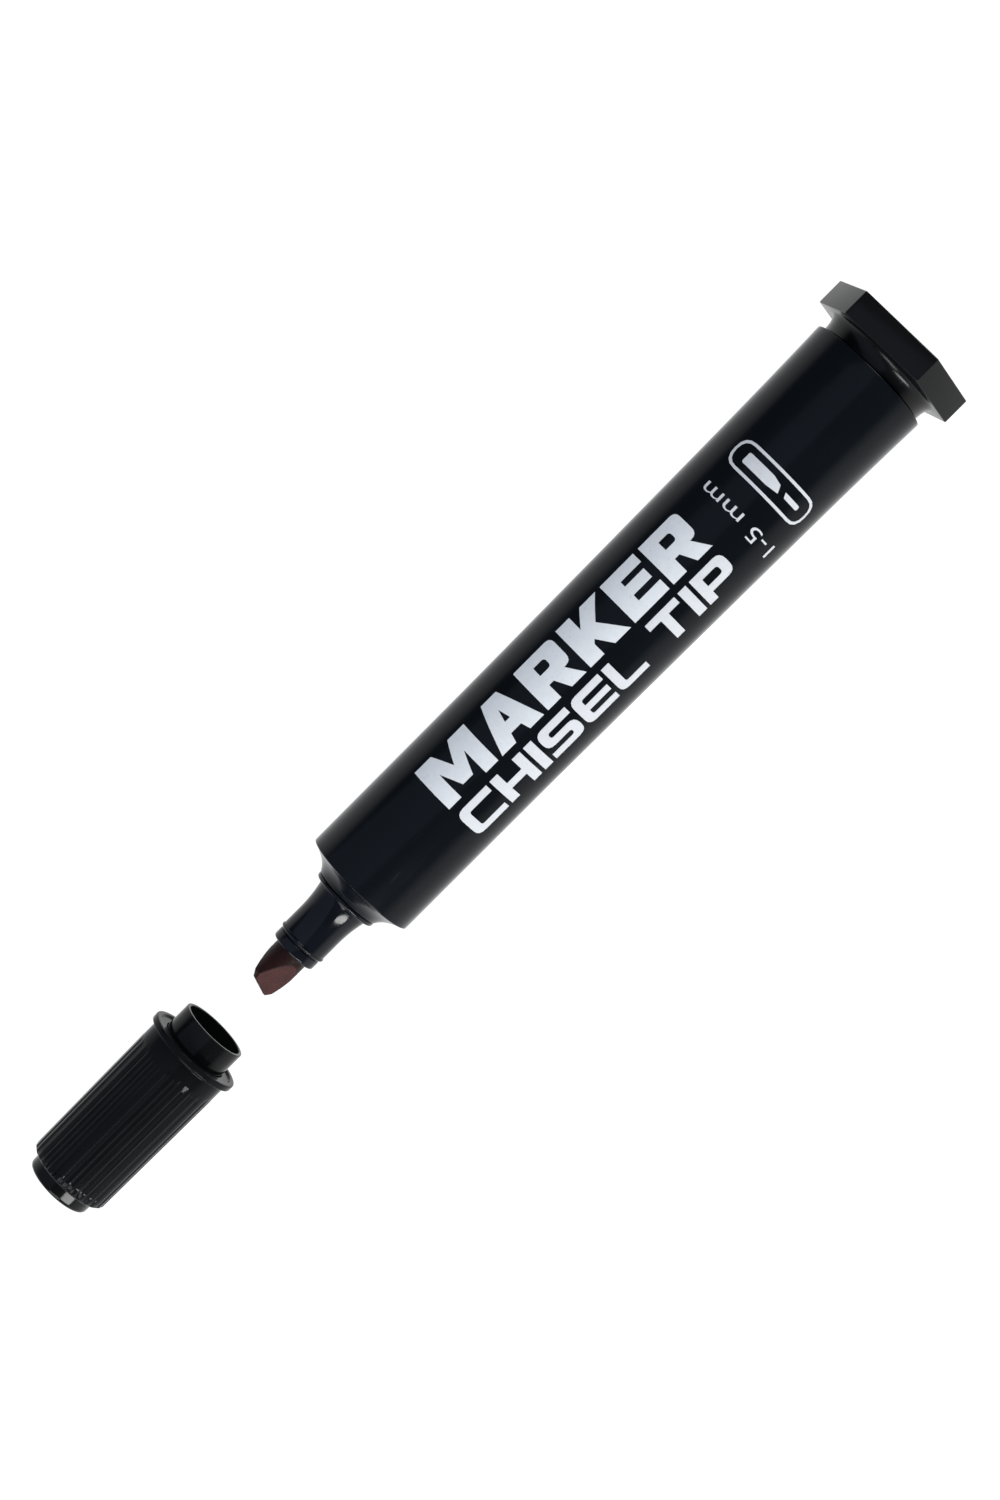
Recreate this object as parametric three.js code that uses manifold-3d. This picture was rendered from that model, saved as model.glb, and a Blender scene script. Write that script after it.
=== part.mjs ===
// A felt tip marker lying on a flat of its hexagonal end plug, with its ribbed cap pulled off the nib.
// Lengths are millimetres. +X runs from the nib to the end plug and +Z is up.
// Along the marker, "u" is the distance from the front rim of the barrel, positive towards the plug.

import * as THREE from "three";
import { mergeVertices } from "three/addons/utils/BufferGeometryUtils.js";
import Module from "manifold-3d";

// Round pieces all turn on the marker's axis with the same number of sides
const sides = 40;
const curveSteps = 4;
const fitGap = 0.15; // between pieces that slide or press into each other
const edgeRadius = 0.2;

// Barrel
const barrelLength = 92.1;
const barrelFrontRadius = 8.22;
const barrelRearRadius = 8.92;
const barrelStraight = 26; // the straight front stretch
const barrelFlareStart = 73; // where the rear flare begins
const barrelFlareRadius = 8.56;
const barrelTaperCurve = { radius: 8.34, along: 48 };
const barrelFlareCurve = { radius: 8.66, along: 84 };
const barrelBoreFront = 7.1;
const barrelBoreRear = 7.85;
const barrelShoulderDepth = 2.4; // how far the shoulder stands out in front of the rim
const barrelShoulderRadius = 4.9;
const barrelShoulderCurve = { radius: 5.6, along: -0.95 }; // what the hollow of the shoulder bends towards
const barrelShoulderWall = 1.5;
const barrelNoseBore = 4.4; // the hole that takes the nozzle's spigot
const barrelRibCount = 6;
const barrelRibWidth = 1;
const barrelRibStart = 4;
const barrelRibEnd = 78;

// Nozzle
const nozzleReach = 12.6; // from the barrel's front rim to the nozzle's tip
const nozzleTipRadius = 3.34;
const nozzleTipLength = 1.35;
const nozzleGrooveDepth = 0.12; // the step behind the tip
const nozzleBeadOffset = 0.55; // from the back of the tip to the middle of the bead
const nozzleBeadRadius = 3.6;
const nozzleBeadLength = 0.5;
const nozzleBeadSlope = 0.1;
const nozzleStemRadius = 3.46;
const nozzleFlareStart = 7.55;
const nozzleFlareRadius = 4.02;
const nozzleFlareCurve = { radius: 3.48, along: -5.2 };
const collarRadius = 4.84;
const collarFront = 3.1;
const nozzleTail = 3.2; // how far the spigot runs into the barrel

// Nib
const nibRadius = 2.5;
const nibReach = 19.8; // from the barrel's front rim to the point of the chisel
const nibBack = 13;
const nibBackCone = 2.2;
const nibBackRadius = 1.125;
const nibBevelAngle = THREE.MathUtils.degToRad(22.5);
const nibEdgeHalfThickness = 0.3;
const nibSlantAngle = THREE.MathUtils.degToRad(19);
const nibCornerCut = 0.5; // taken off both corners of the slanted edge
const nibRoll = THREE.MathUtils.degToRad(150); // turns the bevelled faces about the axis

// Ink reservoir and its film
const reservoirStart = 4.5;
const reservoirLength = 78;
const reservoirRadius = 6.3;
const reservoirSocketDepth = 9;
const filmWall = 0.15;
const filmShortfall = 0.5; // bare fibre at each end of the film

// End plug: the hexagon is a little wider across its side corners than a regular one
const plugNeckRadius = 8.15;
const plugNeckLength = 2.28;
const hexThickness = 3.83;
const hexFlatDistance = 9.4;
const hexFlatHalfLength = 6.2;
const hexCornerDistance = 11.25;
const hexBevel = 0.15;
const plugSpigotLength = 9;
const plugSpigotRadius = 7.45;
const plugSealRadius = 7.65;
const plugSealWidth = 0.8;
const plugSealPlaces = [2.2, 5.4]; // along the spigot from its inner end
const plugCoreRadius = 6.2;
const plugEndWall = 1.6;

// Cap, measured from its mouth towards its closed end
const capTravel = 24; // from the pulled-off place to the collar
const linerRadius = 4.82;
const linerLength = 29.6;
const linerMouthBore = 4.34;
const linerEndBore = 4.15;
const linerEndWall = 1.3;
const flangeOffset = 3.55;
const flangeThickness = 0.92;
const flangeRadius = 6.92;
const flangeGrooveRadius = 6.2;
const flangeGrooveDepth = 0.25;
const flangeGrooveSlope = 0.15;
const bandLength = 2.25; // the plain cone between the flange and the ribs
const bandRadius = 6.2;
const bandFillet = 0.3; // where the band meets the flange
const bandLap = { depth: 0.35, length: 1 }; // the band's foot inside the ribbed length
const shellEndOffset = 27.55;
const shellEndChamfer = 0.35;
const ribCount = 26;
const ribTipRadius = 6.22;
const ribRootRadius = 5.92;
const ribTaper = 0.968; // the ribbed length narrows towards the closed end
const ribTipShare = 0.3; // the share of each pitch that the rib's top takes
const ribFootShare = 0.55;

const wasm = await Module();
wasm.setup();

// The middle of the whole object's length stands over the origin
const plugEnd = barrelLength + fitGap + plugNeckLength + hexThickness;
const capMouth = -(collarFront + capTravel);
const capEnd = capMouth - linerLength;
const middle = (plugEnd + capEnd) / 2;

const blackShell = { color: 0x14171b, roughness: 0.32, metalness: 0 };
const blackInner = { color: 0x16171a, roughness: 0.4, metalness: 0 };
const materials = {
  barrel: new THREE.MeshStandardMaterial(blackShell),
  nozzle: new THREE.MeshStandardMaterial({ color: 0x17191e, roughness: 0.28, metalness: 0 }),
  nib: new THREE.MeshStandardMaterial({ color: 0x4a2b2b, roughness: 0.85, metalness: 0 }),
  reservoir: new THREE.MeshStandardMaterial({ color: 0x33191b, roughness: 0.95, metalness: 0 }),
  film: new THREE.MeshStandardMaterial({ color: 0xd9dcde, roughness: 0.2, metalness: 0 }),
  plug: new THREE.MeshStandardMaterial({ color: 0x141516, roughness: 0.38, metalness: 0 }),
  capShell: new THREE.MeshStandardMaterial({ color: 0x16181a, roughness: 0.35, metalness: 0 }),
  capLiner: new THREE.MeshStandardMaterial(blackInner),
};

// A closed outline of radius and distance along the axis, turned into a solid about the Y axis
function turned(outline) {
  return new THREE.LatheGeometry(outline, sides);
}

function point(radius, along) {
  return new THREE.Vector2(radius, along);
}

// An outline with its straight and curved stretches in order; it closes on its first point
function outlineOf(path) {
  const points = path.getPoints(curveSteps);
  if (points[0].distanceTo(points.at(-1)) > 0) {
    points.push(points[0].clone());
  }
  return points;
}

function toManifold(geometry) {
  const bare = geometry.clone();
  bare.deleteAttribute("normal");
  bare.deleteAttribute("uv");
  const merged = mergeVertices(bare);
  const mesh = new wasm.Mesh({
    numProp: 3,
    vertProperties: new Float32Array(merged.attributes.position.array),
    triVerts: new Uint32Array(merged.index.array),
  });
  return new wasm.Manifold(mesh);
}

function toGeometry(manifold) {
  const mesh = manifold.getMesh();
  const geometry = new THREE.BufferGeometry();
  geometry.setAttribute("position", new THREE.BufferAttribute(mesh.vertProperties, 3));
  geometry.setIndex(new THREE.BufferAttribute(mesh.triVerts, 1));
  geometry.computeVertexNormals();
  return geometry;
}

// An outline in the plane across the axis, pushed along Y from "start" by "length"
function prism(shape, start, length) {
  const geometry = new THREE.ExtrudeGeometry(shape, { depth: length, bevelEnabled: false });
  geometry.rotateX(-Math.PI / 2);
  geometry.translate(0, start, 0);
  return geometry;
}

function polygon(corners) {
  const shape = new THREE.Shape();
  corners.forEach(([x, y], i) => (i === 0 ? shape.moveTo(x, y) : shape.lineTo(x, y)));
  shape.closePath();
  return shape;
}

function barrelGeometry() {
  const shoulderTop = barrelFrontRadius - edgeRadius / 2;
  const path = new THREE.Path();
  path.moveTo(barrelNoseBore, -barrelShoulderDepth);
  path.lineTo(barrelShoulderRadius, -barrelShoulderDepth);
  path.quadraticCurveTo(barrelShoulderCurve.radius, barrelShoulderCurve.along, shoulderTop, 0);
  path.lineTo(barrelFrontRadius, edgeRadius / 2);
  path.lineTo(barrelFrontRadius, barrelStraight);
  path.quadraticCurveTo(
    barrelTaperCurve.radius,
    barrelTaperCurve.along,
    barrelFlareRadius,
    barrelFlareStart,
  );
  path.quadraticCurveTo(
    barrelFlareCurve.radius,
    barrelFlareCurve.along,
    barrelRearRadius,
    barrelLength - edgeRadius,
  );
  path.lineTo(barrelRearRadius - edgeRadius, barrelLength);
  path.lineTo(barrelBoreRear, barrelLength);
  path.lineTo(barrelBoreFront, barrelShoulderWall);
  path.lineTo(barrelShoulderRadius + fitGap, 0);
  path.lineTo(barrelNoseBore, 0);
  let solid = toManifold(turned(outlineOf(path)));
  const ribInner = reservoirRadius + filmWall + 2 * fitGap;
  const ribOuter = barrelBoreRear;
  for (let i = 0; i < barrelRibCount; i++) {
    const rib = new THREE.BoxGeometry(barrelRibWidth, barrelRibEnd - barrelRibStart, ribOuter - ribInner);
    rib.translate(0, (barrelRibStart + barrelRibEnd) / 2, (ribInner + ribOuter) / 2);
    rib.rotateY(((i + 0.5) / barrelRibCount) * 2 * Math.PI);
    solid = solid.add(toManifold(rib));
  }
  return toGeometry(solid);
}

function nozzleGeometry() {
  const bore = nibRadius + fitGap;
  const tipBack = -nozzleReach + nozzleTipLength;
  const beadMiddle = tipBack + nozzleBeadOffset;
  const beadFront = beadMiddle - nozzleBeadLength / 2;
  const beadBack = beadMiddle + nozzleBeadLength / 2;
  const grooveRadius = nozzleTipRadius - nozzleGrooveDepth;
  const collarBack = -barrelShoulderDepth - fitGap;
  const spigotRadius = barrelNoseBore - fitGap;
  const path = new THREE.Path();
  path.moveTo(bore, -nozzleReach);
  path.lineTo(nozzleTipRadius - edgeRadius, -nozzleReach);
  path.quadraticCurveTo(nozzleTipRadius, -nozzleReach, nozzleTipRadius, -nozzleReach + edgeRadius);
  path.lineTo(nozzleTipRadius, tipBack);
  path.lineTo(grooveRadius, tipBack + nozzleGrooveDepth);
  path.lineTo(grooveRadius, beadFront - nozzleBeadSlope / 2);
  path.lineTo(nozzleBeadRadius, beadFront + nozzleBeadSlope);
  path.lineTo(nozzleBeadRadius, beadBack - nozzleBeadSlope);
  path.lineTo(nozzleStemRadius, beadBack + nozzleBeadSlope);
  path.lineTo(nozzleStemRadius, -nozzleFlareStart);
  path.quadraticCurveTo(nozzleFlareCurve.radius, nozzleFlareCurve.along, nozzleFlareRadius, -collarFront);
  path.lineTo(collarRadius - edgeRadius, -collarFront);
  path.quadraticCurveTo(collarRadius, -collarFront, collarRadius, -collarFront + edgeRadius);
  path.lineTo(collarRadius, collarBack);
  path.lineTo(spigotRadius, collarBack);
  path.lineTo(spigotRadius, nozzleTail - edgeRadius);
  path.lineTo(spigotRadius - edgeRadius, nozzleTail);
  path.lineTo(bore + edgeRadius, nozzleTail);
  path.lineTo(bore, nozzleTail - edgeRadius);
  return turned(outlineOf(path));
}

// A round rod with a point at the back, cut at the front by two bevels and a slant
function nibGeometry() {
  const start = -nibReach;
  const rod = turned([
    point(0, start),
    point(nibRadius, start),
    point(nibRadius, nibBack - nibBackCone),
    point(nibBackRadius, nibBack),
    point(0, nibBack),
  ]);
  const reach = nibRadius + 1;
  const bevelLength = (reach - nibEdgeHalfThickness) / Math.tan(nibBevelAngle);
  const slantRise = 2 * reach * Math.tan(nibSlantAngle);
  const bevels = polygon([
    [-nibEdgeHalfThickness, start],
    [nibEdgeHalfThickness, start],
    [reach, start + bevelLength],
    [reach, nibBack + 1],
    [-reach, nibBack + 1],
    [-reach, start + bevelLength],
  ]);
  const slantStart = start - (reach - nibRadius) * Math.tan(nibSlantAngle);
  const cutWidth = reach - nibRadius + nibCornerCut;
  const cutRise = 2 * cutWidth;
  const cutDrop = cutWidth * Math.tan(nibSlantAngle);
  const slant = polygon([
    [-reach, slantStart + cutDrop + cutRise],
    [-reach + cutWidth, slantStart + cutDrop],
    [reach - cutWidth, slantStart + slantRise - cutDrop],
    [reach, slantStart + slantRise - cutDrop + cutRise],
    [reach, nibBack + 1],
    [-reach, nibBack + 1],
  ]);
  const bevelPrism = new THREE.ExtrudeGeometry(bevels, { depth: 2 * reach, bevelEnabled: false });
  bevelPrism.translate(0, 0, -reach);
  // Both bevels follow the slanted edge
  const slantSlope = Math.tan(nibSlantAngle);
  bevelPrism.applyMatrix4(new THREE.Matrix4().makeShear(0, 0, 0, 0, 0, -slantSlope));
  bevelPrism.translate(0, nibRadius * slantSlope, 0);
  const slantPrism = new THREE.ExtrudeGeometry(slant, { depth: 2 * reach, bevelEnabled: false });
  slantPrism.translate(0, 0, -reach);
  slantPrism.rotateY(Math.PI / 2);
  const chisel = toManifold(bevelPrism).intersect(toManifold(slantPrism));
  const geometry = toGeometry(chisel.intersect(toManifold(rod)));
  geometry.rotateY(nibRoll);
  return geometry;
}

function reservoirGeometry() {
  const end = reservoirStart + reservoirLength;
  const socketBottom = reservoirStart + reservoirSocketDepth;
  const socketRadius = nibRadius + fitGap;
  return turned([
    point(0, socketBottom),
    point(socketRadius, socketBottom),
    point(socketRadius, reservoirStart),
    point(reservoirRadius, reservoirStart),
    point(reservoirRadius, end),
    point(0, end),
  ]);
}

function filmGeometry() {
  const start = reservoirStart + filmShortfall;
  const end = reservoirStart + reservoirLength - filmShortfall;
  const inner = reservoirRadius + fitGap;
  const outer = inner + filmWall;
  return turned([
    point(inner, start),
    point(outer, start),
    point(outer, end),
    point(inner, end),
    point(inner, start),
  ]);
}

// The hexagon's outline, with a flat facing up and another facing down
function hexagon(shrink) {
  const flat = hexFlatDistance - shrink;
  const corner = hexCornerDistance - shrink;
  const half = hexFlatHalfLength - shrink / 2;
  return polygon([
    [corner, 0],
    [half, flat],
    [-half, flat],
    [-corner, 0],
    [-half, -flat],
    [half, -flat],
  ]);
}

function endPlugGeometry() {
  const neckStart = barrelLength + fitGap;
  const headStart = neckStart + plugNeckLength;
  const spigotStart = barrelLength - plugSpigotLength;
  const coreEnd = plugEnd - plugEndWall;
  const path = new THREE.Path();
  path.moveTo(plugCoreRadius, spigotStart);
  path.lineTo(plugSpigotRadius - 2 * edgeRadius, spigotStart);
  path.lineTo(plugSpigotRadius, spigotStart + 3 * edgeRadius);
  for (const seal of plugSealPlaces) {
    path.lineTo(plugSpigotRadius, spigotStart + seal);
    path.lineTo(plugSealRadius, spigotStart + seal + plugSealWidth / 3);
    path.lineTo(plugSealRadius, spigotStart + seal + (2 * plugSealWidth) / 3);
    path.lineTo(plugSpigotRadius, spigotStart + seal + plugSealWidth);
  }
  path.lineTo(plugSpigotRadius, neckStart);
  path.lineTo(plugNeckRadius, neckStart);
  path.lineTo(plugNeckRadius, headStart + hexThickness / 2);
  path.lineTo(plugCoreRadius, headStart + hexThickness / 2);
  const neck = toManifold(turned(outlineOf(path)));
  const head = toManifold(prism(hexagon(0), headStart + hexBevel, hexThickness - 2 * hexBevel));
  const headFaces = toManifold(prism(hexagon(hexBevel), headStart, hexThickness));
  const core = toManifold(turned([
    point(0, headStart - plugNeckLength),
    point(plugCoreRadius, headStart - plugNeckLength),
    point(plugCoreRadius, coreEnd - edgeRadius),
    point(plugCoreRadius - edgeRadius, coreEnd),
    point(0, coreEnd),
  ]));
  return toGeometry(head.add(headFaces).subtract(core).add(neck));
}

// The ribbed outline: each rib has sloping sides and a narrow top
function ribbedShape() {
  const corners = [];
  const pitch = (2 * Math.PI) / ribCount;
  for (let i = 0; i < ribCount; i++) {
    for (const [share, radius] of [
      [-ribFootShare / 2, ribRootRadius],
      [-ribTipShare / 2, ribTipRadius],
      [ribTipShare / 2, ribTipRadius],
      [ribFootShare / 2, ribRootRadius],
    ]) {
      const angle = (i + share) * pitch;
      corners.push([radius * Math.cos(angle), radius * Math.sin(angle)]);
    }
  }
  return polygon(corners);
}

function capShellGeometry() {
  const flangeFront = capMouth - flangeOffset;
  const flangeBack = flangeFront - flangeThickness;
  const ribEnd = flangeBack - bandLength;
  const shellEnd = capMouth - shellEndOffset;
  const bore = linerRadius + fitGap;
  const path = new THREE.Path();
  path.moveTo(bore, ribEnd - bandLap.length);
  path.lineTo(bandRadius - bandLap.depth, ribEnd - bandLap.length);
  path.lineTo(bandRadius, ribEnd);
  path.quadraticCurveTo(bandRadius, flangeBack - bandFillet, bandRadius + bandFillet, flangeBack);
  path.lineTo(flangeRadius - edgeRadius, flangeBack);
  path.quadraticCurveTo(flangeRadius, flangeBack, flangeRadius, flangeBack + edgeRadius);
  path.lineTo(flangeRadius, flangeFront - edgeRadius);
  path.quadraticCurveTo(flangeRadius, flangeFront, flangeRadius - edgeRadius, flangeFront);
  path.lineTo(flangeGrooveRadius, flangeFront);
  path.lineTo(flangeGrooveRadius - flangeGrooveSlope, flangeFront - flangeGrooveDepth);
  path.lineTo(bore, flangeFront - flangeGrooveDepth);
  const front = toManifold(turned(outlineOf(path)));
  const ribs = prism(ribbedShape(), 0, ribEnd - shellEnd);
  // The ribbed length narrows evenly from the band to the closed end
  const corner = ribs.attributes.position;
  for (let i = 0; i < corner.count; i++) {
    const share = corner.getY(i) / (ribEnd - shellEnd);
    const scale = ribTaper + (1 - ribTaper) * share;
    corner.setXYZ(i, corner.getX(i) * scale, corner.getY(i) + shellEnd, corner.getZ(i) * scale);
  }
  // Cutting with a cone chamfers the ribs at the closed end
  const trimRadius = ribTipRadius * ribTaper - shellEndChamfer;
  const trimSlope = 2;
  const trim = turned([
    point(0, shellEnd),
    point(trimRadius, shellEnd),
    point(trimRadius + trimSlope, shellEnd + trimSlope),
    point(trimRadius + trimSlope, ribEnd),
    point(0, ribEnd),
  ]);
  const hole = turned([
    point(0, shellEnd - 1),
    point(bore, shellEnd - 1),
    point(bore, flangeFront + 1),
    point(0, flangeFront + 1),
  ]);
  const body = toManifold(ribs).intersect(toManifold(trim));
  return toGeometry(body.subtract(toManifold(hole)).add(front));
}

function capLinerGeometry() {
  const floor = capEnd + linerEndWall;
  const path = new THREE.Path();
  path.moveTo(0, capEnd);
  path.lineTo(linerRadius - 3 * edgeRadius, capEnd);
  path.quadraticCurveTo(linerRadius, capEnd, linerRadius, capEnd + 3 * edgeRadius);
  path.lineTo(linerRadius, capMouth - edgeRadius / 2);
  path.lineTo(linerRadius - edgeRadius / 2, capMouth);
  path.lineTo(linerMouthBore + edgeRadius / 2, capMouth);
  path.lineTo(linerMouthBore, capMouth - edgeRadius);
  path.lineTo(linerEndBore, floor + 2 * edgeRadius);
  path.quadraticCurveTo(linerEndBore, floor, linerEndBore - 2 * edgeRadius, floor);
  path.lineTo(0, floor);
  return turned(path.getPoints(curveSteps));
}

const marker = new THREE.Group();
marker.position.set(-middle, 0, hexFlatDistance);

// Each piece's own axis is Y, so the pieces lie down together along +X
const pieces = new THREE.Group();
pieces.rotation.z = -Math.PI / 2;
marker.add(pieces);

function addPiece(name, geometry, material) {
  const mesh = new THREE.Mesh(geometry, material);
  mesh.name = name;
  pieces.add(mesh);
}

addPiece("barrel", barrelGeometry(), materials.barrel);
addPiece("nozzle", nozzleGeometry(), materials.nozzle);
addPiece("nib", nibGeometry(), materials.nib);
addPiece("ink_reservoir", reservoirGeometry(), materials.reservoir);
addPiece("reservoir_film", filmGeometry(), materials.film);
addPiece("end_plug", endPlugGeometry(), materials.plug);
addPiece("cap_shell", capShellGeometry(), materials.capShell);
addPiece("cap_liner", capLinerGeometry(), materials.capLiner);

export default marker;
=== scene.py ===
import math

import bmesh
import bpy
from mathutils import Matrix, Vector


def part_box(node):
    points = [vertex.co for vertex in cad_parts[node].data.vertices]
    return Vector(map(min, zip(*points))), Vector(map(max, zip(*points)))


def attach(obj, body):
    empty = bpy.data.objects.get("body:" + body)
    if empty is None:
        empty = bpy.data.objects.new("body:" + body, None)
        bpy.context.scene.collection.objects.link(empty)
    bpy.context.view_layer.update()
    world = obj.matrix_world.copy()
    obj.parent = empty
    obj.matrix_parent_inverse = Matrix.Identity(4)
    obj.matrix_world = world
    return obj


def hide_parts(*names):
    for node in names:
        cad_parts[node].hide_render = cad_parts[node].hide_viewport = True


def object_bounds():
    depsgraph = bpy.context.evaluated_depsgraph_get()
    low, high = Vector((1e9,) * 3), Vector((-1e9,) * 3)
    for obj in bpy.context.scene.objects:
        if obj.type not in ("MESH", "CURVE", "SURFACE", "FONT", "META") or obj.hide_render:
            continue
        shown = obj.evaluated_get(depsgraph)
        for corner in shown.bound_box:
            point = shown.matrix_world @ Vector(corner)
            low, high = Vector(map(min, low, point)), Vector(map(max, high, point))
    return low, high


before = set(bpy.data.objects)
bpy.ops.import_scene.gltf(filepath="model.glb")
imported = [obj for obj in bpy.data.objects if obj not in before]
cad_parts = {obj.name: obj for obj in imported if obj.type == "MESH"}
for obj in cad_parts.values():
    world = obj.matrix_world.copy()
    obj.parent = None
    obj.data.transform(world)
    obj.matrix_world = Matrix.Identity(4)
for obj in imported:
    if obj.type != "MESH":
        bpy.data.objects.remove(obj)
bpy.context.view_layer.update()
print("frame loaded")

# Lengths in the dictionaries are millimetres and angles are degrees.
# "along" runs with +X from the barrel's front rim, or from the cap's mouth on the two cap pieces.
mm = 0.001
roundSteps = 4  # steps in a rounded corner
onAxis = 0.001  # a ring this small is merged into a pole
mergeGap = 0.002  # corners nearer than this become one

barrelLook = {
    "sides": 144,
    "length": 92.1,
    "frontRadius": 8.22,
    "straight": 26,
    "taperPull": (8.34, 48),
    "flareStart": (8.56, 73),
    "flarePull": (8.66, 84),
    "rearRadius": 8.92,
    "boreFront": 7.1,
    "boreRear": 7.85,
    "shoulderDepth": 2.4,
    "shoulderRadius": 4.9,
    "shoulderPull": (5.6, -0.95),
    "shoulderWall": 1.5,
    "noseBore": 4.4,
    "ribCount": 6,
    "ribFaces": 3,
    "ribStart": 4,
    "ribEnd": 78,
    "ribTip": 6.78,
    "rimRounding": 0.12,
    "endRounding": 0.22,
}

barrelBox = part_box("barrel")
axisHeight = (barrelBox[0].z + barrelBox[1].z) / 2
barrelRim = barrelBox[0].x + barrelLook["shoulderDepth"] * mm
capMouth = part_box("cap_liner")[1].x
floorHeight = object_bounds()[0].z


cameraLook = {
    "target": (4.27, -0.53, 9.4),
    "distance": 350.16,
    "heading": -25.25,  # 0 looks along +Y
    "elevation": 80.395,
    "roll": -69.96,
    "lens": 65.14,
}


def placeCamera():
    data = bpy.data.cameras.new("camera")
    data.lens = cameraLook["lens"]
    data.sensor_width = 36
    data.clip_start = 0.01
    data.clip_end = 20
    camera = bpy.data.objects.new("camera", data)
    bpy.context.scene.collection.objects.link(camera)
    turn = Matrix.Rotation(-math.radians(cameraLook["heading"]), 4, "Z")
    tilt = Matrix.Rotation(math.radians(90 - cameraLook["elevation"]), 4, "X")
    roll = Matrix.Rotation(math.radians(cameraLook["roll"]), 4, "Z")
    facing = turn @ tilt @ roll
    back = facing.to_3x3() @ Vector((0, 0, 1))
    target = Vector(cameraLook["target"]) * mm
    camera.matrix_world = Matrix.Translation(target + back * cameraLook["distance"] * mm) @ facing
    bpy.context.scene.camera = camera


def toLinear(hexColour):
    # sRGB hex to the linear colour that the shaders take
    channels = [int(hexColour[i:i + 2], 16) / 255 for i in (1, 3, 5)]
    return tuple(c / 12.92 if c <= 0.04045 else ((c + 0.055) / 1.055) ** 2.4 for c in channels) + (1,)


def addNode(tree, kind, settings=None, links=None):
    # settings in capitals are input sockets and the rest are the node's own properties
    node = tree.nodes.new(kind)
    for key, value in (settings or {}).items():
        if isinstance(key, int) or key[0].isupper():
            node.inputs[key].default_value = value
        else:
            setattr(node, key, value)
    for key, source in (links or {}).items():
        tree.links.new(source, node.inputs[key])
    return node


def newMaterial(name):
    material = bpy.data.materials.new(name)
    material.use_nodes = True
    material.node_tree.nodes.clear()
    return material


lampLook = {
    # place and size in mm, radiance where 1 is white; each lamp aims at the marker's middle
    "endSoftboxFront": {"place": (-560, -160, 400), "size": (400, 260), "radiance": 8},
    "endSoftboxRear": {"place": (600, -60, 430), "size": (300, 300), "radiance": 8},
    "lowWindow": {
        "place": (-550, -920, 560), "size": (180, 780), "radiance": 28, "shape": "ELLIPSE",
        "turn": 15,  # stands the window square to the marker, so that the plain ribs don't catch it
    },
    "skyPanel": {"place": (-175, 260, 560), "size": (530, 1500), "radiance": 0.55, "colour": "#cfe0ff"},
}


def hangLamp(name, look):
    data = bpy.data.lights.new(name, "AREA")
    data.shape = look.get("shape", "RECTANGLE")
    data.size, data.size_y = (side * mm for side in look["size"])
    area = data.size * data.size_y * (math.pi / 4 if data.shape == "ELLIPSE" else 1)
    data.energy = look["radiance"] * math.pi * area
    data.color = toLinear(look.get("colour", "#ffffff"))[:3]
    lamp = bpy.data.objects.new(name, data)
    bpy.context.scene.collection.objects.link(lamp)
    place = Vector(look["place"]) * mm
    lamp.location = place
    lamp.rotation_euler = (Vector((0, 0, axisHeight)) - place).to_track_quat("-Z", "Y").to_euler()
    lamp.rotation_euler.rotate_axis("Z", math.radians(look.get("turn", 0)))


floorLook = {"size": 6000, "colour": "#7a7a7a", "glow": 0.95}


def layFloor():
    bpy.ops.mesh.primitive_plane_add(size=floorLook["size"] * mm, location=(0, 0, floorHeight))
    floor = bpy.context.object
    floor.name = "studio_floor"
    bpy.ops.object.transform_apply(location=True, rotation=True, scale=True)
    material = newMaterial("paper_matt_white")  # smooth card, no visible grain from this far
    tree = material.node_tree
    shader = addNode(tree, "ShaderNodeBsdfPrincipled", {
        "Base Color": toLinear(floorLook["colour"]),
        "Roughness": 0.9,
        "Specular IOR Level": 0.2,
        "Emission Color": (1, 1, 1, 1),
        "Emission Strength": floorLook["glow"],
    })
    addNode(tree, "ShaderNodeOutputMaterial", None, {"Surface": shader.outputs[0]})
    floor.data.materials.append(material)


worldLook = {"horizon": "#f2f4f6", "overhead": "#2c3238", "horizonHeight": 0.05, "overheadHeight": 0.3}


def lightWorld():
    world = bpy.data.worlds.new("studio")
    world.use_nodes = True
    bpy.context.scene.world = world
    tree = world.node_tree
    tree.nodes.clear()
    direction = addNode(tree, "ShaderNodeTexCoord")
    height = addNode(tree, "ShaderNodeSeparateXYZ", None, {0: direction.outputs["Generated"]})
    fade = addNode(tree, "ShaderNodeValToRGB", None, {0: height.outputs["Z"]})
    fade.color_ramp.interpolation = "EASE"
    fade.color_ramp.elements[0].position = worldLook["horizonHeight"]
    fade.color_ramp.elements[0].color = toLinear(worldLook["horizon"])
    fade.color_ramp.elements[1].position = worldLook["overheadHeight"]
    fade.color_ramp.elements[1].color = toLinear(worldLook["overhead"])
    glow = addNode(tree, "ShaderNodeBackground", {"Strength": 1.0}, {"Color": fade.outputs[0]})
    addNode(tree, "ShaderNodeOutputWorld", None, {"Surface": glow.outputs[0]})


placeCamera()
layFloor()
lightWorld()
for lampName, lamp in lampLook.items():
    hangLamp(lampName, lamp)
bpy.context.scene.view_settings.view_transform = "Standard"
print("camera, floor and lights set")


def centredCoordinates(tree, scale=(1, 1, 1)):
    # the piece's own coordinates, in mm, with the marker's axis through the origin
    place = addNode(tree, "ShaderNodeTexCoord")
    return addNode(tree, "ShaderNodeMapping", {
        "Location": (0, 0, -axisHeight / mm * scale[2]),
        "Scale": tuple(s / mm for s in scale),
    }, {0: place.outputs["Object"]})


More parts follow.
